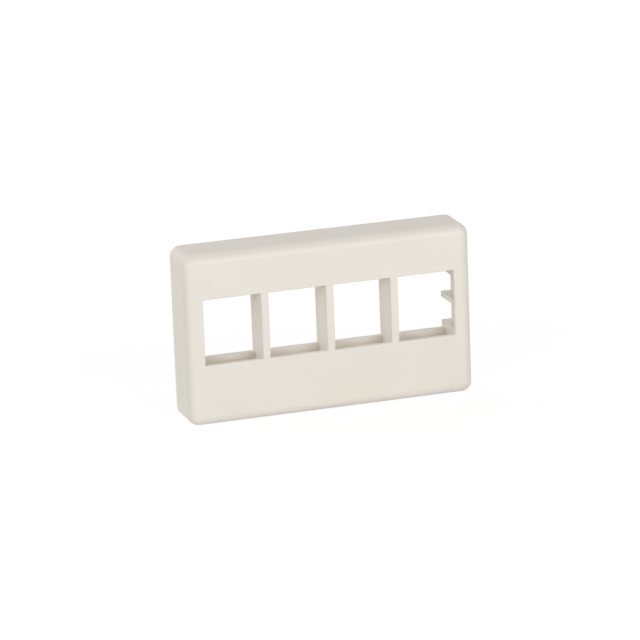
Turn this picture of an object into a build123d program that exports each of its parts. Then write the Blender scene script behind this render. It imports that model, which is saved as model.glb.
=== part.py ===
from build123d import *
import os

# Faceplate for four keystone jacks, which snaps into the rectangular cut-out of a furniture panel.
# It is one injection moulding: an open-backed shell with rounded edges, a row of four jack ports
# with their catch bars behind the face, and snap arms that grip the panel.
#
# Frame: +X to the right seen from the front, +Z up, the face looks along -Y.
# Origin: on the plane of the rear rim, which is the panel's surface, at the middle of the outline.
# Lengths are in millimetres and angles in degrees.

# Row of jack ports
port_count = 4
port_width = 14.6
port_height = 16.4
divider_thickness = 1.9
port_edge_round = 0.25
collar_depth = 8.9

# Shell, measured at the rear rim, with the face's margins round the row of ports
end_margin = 4.5
margin_above = 11.25
margin_below = 15.25
plate_depth = 11.75
corner_radius = 2.7
edge_round = 2.5
outer_draft = 0.5
wall = 1.3
inner_draft = 1.5
face_thickness = 1.3
inner_edge_round = 1.0

# Hook side of each port, below it
hook_land_drop = 1.4
hook_groove = 1.4
hook_groove_drop = 2.2
hook_lip_thickness = 1.5
floor_thickness = 1.2

# Latch side of each port, above it
head_depth = 4.0
head_thickness = 1.4
latch_step = 2.0
catch_bar_height = 2.0
catch_bar_thickness = 1.5
catch_bar_chamfer = 0.6

# Ribs on the end walls, which stand for a divider at the outer side of the outer ports
end_rib_height = 1.35
lower_block_height = 1.45
upper_block_height = 1.75
end_rib_depth = 10.1

# Stiffening ribs between the collar and the long walls
stiffener_thickness = 0.9
stiffener_depth = 6.0

# Furniture panel: the rim laps over the edges of its cut-out
lap_at_ends = 2.15
lap_at_long_sides = 3.9
panel_grip = 2.2
cutout_clearance = 0.25

# Snap arms on the long sides, over the outer ports
arm_width = 7.0
arm_thickness = 1.5
arm_root_round = 0.7
hook_overhang = 1.2
hook_length = 3.2
hook_tip_height = 0.8
hook_nose_round = 0.3

# Locating tabs on the short ends
tab_inset = 5.5
tab_width = 4.0
tab_thickness = 1.2
tab_reach = 1.2
tab_lead_in = 0.5

# How far a piece reaches into the wall that carries it
root = 0.5

# Places that follow from the sizes above
port_pitch = port_width + divider_thickness
row_half = (port_count - 1) * port_pitch / 2 + port_width / 2
plate_width = 2 * (row_half + end_margin)
plate_height = margin_above + port_height + margin_below
port_rise = (margin_below - margin_above) / 2
port_bottom = port_rise - port_height / 2
port_top = port_rise + port_height / 2
front_y = -plate_depth
face_rear_y = front_y + face_thickness
collar_y = front_y + collar_depth
collar_bottom = port_bottom - hook_groove_drop - floor_thickness
collar_top = port_top + latch_step + catch_bar_height
end_wall_x = plate_width / 2 - wall
long_wall_z = plate_height / 2 - wall
cutout_half_width = plate_width / 2 - lap_at_ends
cutout_half_height = plate_height / 2 - lap_at_long_sides


def dish(width, height, depth, radius, draft, front_round):
    """Block with rounded corners and a rounded front edge, narrowing from the rim's plane to the front."""
    outline = Plane.XZ * RectangleRounded(width, height, radius)
    block = extrude(outline, amount=depth, taper=draft)
    front = block.faces().sort_by(Axis.Y)[0]
    return fillet(front.edges(), front_round)


def patch(low, high):
    """Rectangle between two opposite corners, for the sections and plans below."""
    width = high[0] - low[0]
    height = high[1] - low[1]
    return Pos(low[0] + width / 2, low[1] + height / 2) * Rectangle(width, height)


def moulded_shell():
    """Face and side walls, hollow from behind."""
    outside = dish(plate_width, plate_height, plate_depth, corner_radius, outer_draft, edge_round)
    hollow = dish(
        plate_width - 2 * wall,
        plate_height - 2 * wall,
        plate_depth - face_thickness,
        corner_radius - wall,
        inner_draft,
        inner_edge_round,
    )
    return outside - hollow


def collar_section():
    """Section of the collar, with Y to the right and Z up: what lies below and above the ports."""
    foot = face_rear_y - root
    # Below them, a sunken floor with a groove for the jack's fixed hook, and the lip that holds it
    lip_front = collar_y - hook_lip_thickness
    section = patch((foot, collar_bottom), (collar_y, port_bottom))
    section -= patch((foot, port_bottom - hook_land_drop), (lip_front, port_bottom))
    section -= patch((lip_front - hook_groove, port_bottom - hook_groove_drop), (lip_front, port_bottom))
    # Above them, a short head, and further back the bar that the jack's spring latch clicks over
    section += patch((foot, port_top), (front_y + head_depth, port_top + head_thickness))
    catch_bar = patch((collar_y - catch_bar_thickness, port_top + latch_step), (collar_y, collar_top))
    leading_corner = catch_bar.vertices().group_by(Axis.Y)[0].sort_by(Axis.X)[-1]
    return section + chamfer(leading_corner, catch_bar_chamfer)


def divider_plan():
    """Plan of the walls between the ports, seen from the front."""
    half = divider_thickness / 2
    wall_between = patch((-half, collar_bottom), (half, collar_top))
    return Sketch() + GridLocations(port_pitch, 0, port_count - 1, 1) * wall_between


def end_rib_plan():
    """Plan of the ribs on both end walls: a block at each corner of the port and one rib half-way."""
    edge = end_wall_x + root
    lower_edge = port_bottom + lower_block_height
    upper_edge = port_top - upper_block_height
    middle = (lower_edge + upper_edge) / 2
    half = end_rib_height / 2
    ribs = patch((row_half, collar_bottom), (edge, lower_edge))
    ribs += patch((row_half, middle - half), (edge, middle + half))
    ribs += patch((row_half, upper_edge), (edge, collar_top))
    return ribs + mirror(ribs, about=Plane.YZ)


def stiffener_plan():
    """Plan of the ribs in line with the dividers, from the collar to the long walls."""
    edge = long_wall_z + root
    half = stiffener_thickness / 2
    pair = patch((-half, -edge), (half, collar_bottom + root))
    pair += patch((-half, collar_top - root), (half, edge))
    return Sketch() + GridLocations(port_pitch, 0, port_count - 1, 1) * pair


def rise_from_face(plan, depth):
    """The plan as ribs that stand on the inside of the face, to the given depth behind its front."""
    rib_height = depth - face_thickness + root
    return Pos(0, front_y + depth, 0) * extrude(Plane.XZ * plan, amount=rib_height)


def snap_arm():
    """Spring arm on the upper long side, with the hook that grips behind the furniture panel."""
    outer = cutout_half_height - cutout_clearance
    inner = outer - arm_thickness
    # Its foot lies inside the face, so that the roots' rounds end on the face's inner side
    arm = patch((face_rear_y - root, inner - arm_thickness), (face_rear_y, outer + arm_thickness))
    arm += patch((face_rear_y - root, inner), (panel_grip, outer))
    arm = fillet(arm.vertices().group_by(Axis.X)[1].sort_by(Axis.Y)[1:3], arm_root_round)
    tip = panel_grip + hook_length
    nose = outer + hook_overhang
    hook = make_face(Polyline(
        (panel_grip, inner),
        (panel_grip, nose),
        (tip, inner + hook_tip_height),
        (tip, inner),
        close=True,
    ))
    hook = fillet(hook.vertices().sort_by(Axis.Y)[-1], hook_nose_round)
    return extrude(Plane.YZ * (arm + hook), amount=arm_width / 2, both=True)


def locating_tab():
    """Tab at the right-hand end that keeps the plate central in the length of the cut-out."""
    outer = cutout_half_width - cutout_clearance
    inner = outer - tab_thickness
    section = patch((inner, face_rear_y - root), (outer, tab_reach))
    outer_corner = section.vertices().group_by(Axis.Y)[-1].sort_by(Axis.X)[-1]
    section = chamfer(outer_corner, tab_lead_in)
    section += patch((inner, face_rear_y - root), (end_wall_x + root, -root))
    return extrude(section, amount=tab_width / 2, both=True)


def four_ways(piece, x_shift, z_shift):
    """The piece at its place in the upper right quarter, and its mirror images in the other three."""
    right = Pos(x_shift, 0, z_shift) * piece
    pair = right + mirror(right, about=Plane.YZ)
    return pair + mirror(pair, about=Plane.XY)


def faceplate():
    """The whole moulding."""
    body = moulded_shell()
    body += extrude(Plane.YZ * collar_section(), amount=end_wall_x + root, both=True)
    body += rise_from_face(divider_plan(), collar_depth)
    body += rise_from_face(end_rib_plan(), end_rib_depth)
    body += rise_from_face(stiffener_plan(), stiffener_depth)
    body += four_ways(snap_arm(), (port_count - 1) * port_pitch / 2, 0)
    body += four_ways(locating_tab(), 0, cutout_half_height - tab_inset)
    port = extrude(Plane.XZ * Rectangle(port_width, port_height), amount=face_thickness)
    for place in GridLocations(port_pitch, 0, port_count, 1):
        body -= Pos(place.position.X, face_rear_y, port_rise) * port
    face = body.faces().filter_by(Axis.Y).sort_by(Axis.Y)[0]
    port_edges = ShapeList()
    for loop in face.inner_wires():
        port_edges += loop.edges()
    return fillet(port_edges, port_edge_round)


os.makedirs("parts", exist_ok=True)
export_step(faceplate(), "parts/faceplate.step")
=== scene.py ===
import bmesh
import bpy
from math import cos, pi, radians, sin
from mathutils import Matrix, Vector


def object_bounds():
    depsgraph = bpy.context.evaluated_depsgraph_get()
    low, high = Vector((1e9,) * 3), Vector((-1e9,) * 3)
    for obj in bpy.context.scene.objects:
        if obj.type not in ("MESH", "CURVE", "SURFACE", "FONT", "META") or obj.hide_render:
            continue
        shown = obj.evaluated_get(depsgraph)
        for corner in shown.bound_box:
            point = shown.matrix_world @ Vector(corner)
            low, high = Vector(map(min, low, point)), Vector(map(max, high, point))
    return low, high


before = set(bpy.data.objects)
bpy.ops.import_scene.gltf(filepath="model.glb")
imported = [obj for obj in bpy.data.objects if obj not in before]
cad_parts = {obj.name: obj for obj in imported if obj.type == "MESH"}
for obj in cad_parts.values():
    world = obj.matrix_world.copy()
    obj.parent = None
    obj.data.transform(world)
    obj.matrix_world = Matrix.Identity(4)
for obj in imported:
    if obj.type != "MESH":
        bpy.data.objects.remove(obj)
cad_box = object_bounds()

# The moulding: the whole faceplate, with its face, walls, jack ports, ribs and snap arms, in one
# shot of light almond ABS. The mould is finely spark-textured, which gives the plastic its soft
# satin look, and the part comes out of it with slightly uneven gloss and a faint drift of tone.

deeper_almond = (0.784, 0.738, 0.664, 1.0)
lighter_almond = (0.798, 0.752, 0.681, 1.0)
drift_low = 0.35
drift_high = 0.65
gloss_low = 0.3
gloss_high = 0.7
shinier = 0.44
duller = 0.54
texture_strength = 0.10
texture_depth = 0.00004
abs_refraction = 1.53
mm_in_a_metre = 1000.0

almond = bpy.data.materials.new("light_almond_plastic")
almond.use_nodes = True
almond_nodes = almond.node_tree.nodes
almond_links = almond.node_tree.links
plastic = almond_nodes["Principled BSDF"]
plastic.inputs["IOR"].default_value = abs_refraction

# Object coordinates in millimetres, so that each pattern's scale is its number of features per mm
place = almond_nodes.new("ShaderNodeTexCoord")
in_mm = almond_nodes.new("ShaderNodeMapping")
in_mm.inputs["Scale"].default_value = (mm_in_a_metre, mm_in_a_metre, mm_in_a_metre)
almond_links.new(place.outputs["Object"], in_mm.inputs["Vector"])


def moulded_pattern(features_per_mm, detail, fineness=0.5):
    """A cloudy pattern over the moulding, from 0 to 1 and mostly between 0.3 and 0.7."""
    noise = almond_nodes.new("ShaderNodeTexNoise")
    noise.inputs["Scale"].default_value = features_per_mm
    noise.inputs["Detail"].default_value = detail
    noise.inputs["Roughness"].default_value = fineness
    almond_links.new(in_mm.outputs["Vector"], noise.inputs["Vector"])
    return noise.outputs["Fac"]


# Slow drift of the pigment's tone, over one or two centimetres
tone = almond_nodes.new("ShaderNodeValToRGB")
tone.color_ramp.elements[0].position = drift_low
tone.color_ramp.elements[0].color = deeper_almond
tone.color_ramp.elements[1].position = drift_high
tone.color_ramp.elements[1].color = lighter_almond
almond_links.new(moulded_pattern(features_per_mm=0.06, detail=2.0), tone.inputs["Fac"])
almond_links.new(tone.outputs["Color"], plastic.inputs["Base Color"])

# Uneven gloss, in patches of about three millimetres
roughness = almond_nodes.new("ShaderNodeMapRange")
roughness.inputs["From Min"].default_value = gloss_low
roughness.inputs["From Max"].default_value = gloss_high
roughness.inputs["To Min"].default_value = shinier
roughness.inputs["To Max"].default_value = duller
almond_links.new(moulded_pattern(features_per_mm=0.35, detail=3.0), roughness.inputs["Value"])
almond_links.new(roughness.outputs["Result"], plastic.inputs["Roughness"])

# The spark texture itself: rounded, very shallow pits about a fifth of a millimetre across
pits = almond_nodes.new("ShaderNodeBump")
pits.inputs["Strength"].default_value = texture_strength
pits.inputs["Distance"].default_value = texture_depth
almond_links.new(moulded_pattern(features_per_mm=4.5, detail=2.0, fineness=0.6), pits.inputs["Height"])
almond_links.new(pits.outputs["Normal"], plastic.inputs["Normal"])

moulding = bpy.data.objects["faceplate"]
moulding.data.materials.clear()
moulding.data.materials.append(almond)

# The table: a large sheet of white paper that the plate stands on, on its lower wall. It looks
# pure white to the camera and still takes a little of the plate's soft shadow.

sheet_half_side = 3.0
paper_white = (0.88, 0.88, 0.88, 1.0)
paper_roughness = 0.9
paper_shine = 0.1
glow_strength = 1.09
shaded_within = 0.08
all_white_beyond = 0.50
glow_share_near = 0.82
glow_share_far = 1.0

at_plate_foot = Matrix.Translation((0, 0, cad_box[0][2]))
sheet = bmesh.new()
bmesh.ops.create_grid(sheet, x_segments=1, y_segments=1, size=sheet_half_side, matrix=at_plate_foot)
sheet_mesh = bpy.data.meshes.new("table")
sheet.to_mesh(sheet_mesh)
sheet.free()
table = bpy.data.objects.new("table", sheet_mesh)
bpy.context.scene.collection.objects.link(table)

paper = bpy.data.materials.new("white_paper")
paper.use_nodes = True
paper_nodes = paper.node_tree.nodes
paper_links = paper.node_tree.links
matt = paper_nodes["Principled BSDF"]
matt.inputs["Base Color"].default_value = paper_white
matt.inputs["Roughness"].default_value = paper_roughness
matt.inputs["Specular IOR Level"].default_value = paper_shine
glow = paper_nodes.new("ShaderNodeEmission")
glow.inputs["Strength"].default_value = glow_strength


def white_to_the_eye(nodes, links):
    """1 where the camera sees the surface, also in a reflection or through something clear, and else 0."""
    ray = nodes.new("ShaderNodeLightPath")
    straight_or_mirrored = nodes.new("ShaderNodeMath")
    straight_or_mirrored.operation = "MAXIMUM"
    links.new(ray.outputs["Is Camera Ray"], straight_or_mirrored.inputs[0])
    links.new(ray.outputs["Is Glossy Ray"], straight_or_mirrored.inputs[1])
    seen = nodes.new("ShaderNodeMath")
    seen.operation = "MAXIMUM"
    links.new(straight_or_mirrored.outputs["Value"], seen.inputs[0])
    links.new(ray.outputs["Is Transmission Ray"], seen.inputs[1])
    return seen.outputs["Value"]


# Near the plate the paper keeps a share of its own shading, for the shadow, and the glow makes up
# for the white that this takes away. Further out it is all glow.
on_table = paper_nodes.new("ShaderNodeTexCoord")
from_plate = paper_nodes.new("ShaderNodeVectorMath")
from_plate.operation = "LENGTH"
paper_links.new(on_table.outputs["Object"], from_plate.inputs[0])
glow_share = paper_nodes.new("ShaderNodeMapRange")
glow_share.inputs["From Min"].default_value = shaded_within
glow_share.inputs["From Max"].default_value = all_white_beyond
glow_share.inputs["To Min"].default_value = glow_share_near
glow_share.inputs["To Max"].default_value = glow_share_far
paper_links.new(from_plate.outputs["Value"], glow_share.inputs["Value"])
seen_glow = paper_nodes.new("ShaderNodeMath")
seen_glow.operation = "MULTIPLY"
paper_links.new(white_to_the_eye(paper_nodes, paper_links), seen_glow.inputs[0])
paper_links.new(glow_share.outputs["Result"], seen_glow.inputs[1])
mixed = paper_nodes.new("ShaderNodeMixShader")
paper_links.new(seen_glow.outputs["Value"], mixed.inputs["Fac"])
paper_links.new(matt.outputs["BSDF"], mixed.inputs[1])
paper_links.new(glow.outputs["Emission"], mixed.inputs[2])
paper_links.new(mixed.outputs["Shader"], paper_nodes["Material Output"].inputs["Surface"])
table.data.materials.append(paper)

# The light: a white tent all round, which shows pure white behind the plate, and four large soft
# panels a metre away. The strongest two stand in front, to the right and to the left, and the
# others fill in from the back left and from above behind.

pure_white = (1.0, 1.0, 1.0, 1.0)
white_strength = 1.0
tent_strength = 0.227
panel_side = 0.60
panel_away = 1.00

tent = bpy.data.worlds.new("white_tent")
bpy.context.scene.world = tent
tent.use_nodes = True
tent_nodes = tent.node_tree.nodes
tent_links = tent.node_tree.links
wall_light = tent_nodes["Background"]
wall_light.inputs["Color"].default_value = pure_white
wall_light.inputs["Strength"].default_value = tent_strength
white = tent_nodes.new("ShaderNodeBackground")
white.inputs["Color"].default_value = pure_white
white.inputs["Strength"].default_value = white_strength
either = tent_nodes.new("ShaderNodeMixShader")
tent_links.new(white_to_the_eye(tent_nodes, tent_links), either.inputs["Fac"])
tent_links.new(wall_light.outputs["Background"], either.inputs[1])
tent_links.new(white.outputs["Background"], either.inputs[2])
tent_links.new(either.outputs["Shader"], tent_nodes["World Output"].inputs["Surface"])


def soft_panel(name, azimuth, elevation, watts):
    """A square light panel that faces the plate. Azimuth 0 is straight in front and 90 to the right."""
    turn = radians(azimuth)
    rise = radians(elevation)
    toward = Vector((sin(turn) * cos(rise), -cos(turn) * cos(rise), sin(rise)))
    lamp = bpy.data.lights.new(name, "AREA")
    lamp.shape = "SQUARE"
    lamp.size = panel_side
    lamp.energy = watts
    stand = bpy.data.objects.new(name, lamp)
    stand.location = panel_away * toward
    stand.rotation_euler = (-toward).to_track_quat("-Z", "Y").to_euler()
    stand.visible_camera = False
    bpy.context.scene.collection.objects.link(stand)


soft_panel("front_right_panel", azimuth=22, elevation=20, watts=4.56)
soft_panel("front_left_panel", azimuth=-50, elevation=20, watts=3.46)
soft_panel("back_left_panel", azimuth=-140, elevation=30, watts=2.33)
soft_panel("back_top_panel", azimuth=180, elevation=60, watts=1.56)

# The camera: 0.98 m from the plate, a little to its left and above it, with a long lens. The
# angles, the aim and the lens are those at which the plate's edges fall where the photograph
# has them.

plate_depth = 0.01175
port_rise = 0.0020
turn_left = radians(17.44)
look_down = radians(15.48)
lean = radians(2.25)
away = 0.98
pixels_per_metre = 4115.9
frame_width = 640
port_row_across = 330.79
port_row_down = 317.99

# How far the middle of the row of ports lies from the photograph's middle, in metres at the plate
off_centre = Vector((port_row_across - frame_width / 2, port_row_down - frame_width / 2)) / pixels_per_metre
turned = Matrix.Rotation(-turn_left, 4, "Z")
turned = turned @ Matrix.Rotation(pi / 2 - look_down, 4, "X")
turned = turned @ Matrix.Rotation(-lean, 4, "Z")
lens = bpy.data.cameras.new("photo_camera")
lens.sensor_width = 36.0
lens.lens = pixels_per_metre * away * lens.sensor_width / frame_width
camera = bpy.data.objects.new("photo_camera", lens)
seat = turned @ Vector((-off_centre.x, off_centre.y, away)) + Vector((0, -plate_depth, port_rise))
camera.matrix_world = Matrix.Translation(seat) @ turned
bpy.context.scene.collection.objects.link(camera)
bpy.context.scene.camera = camera
bpy.context.scene.view_settings.view_transform = "Standard"
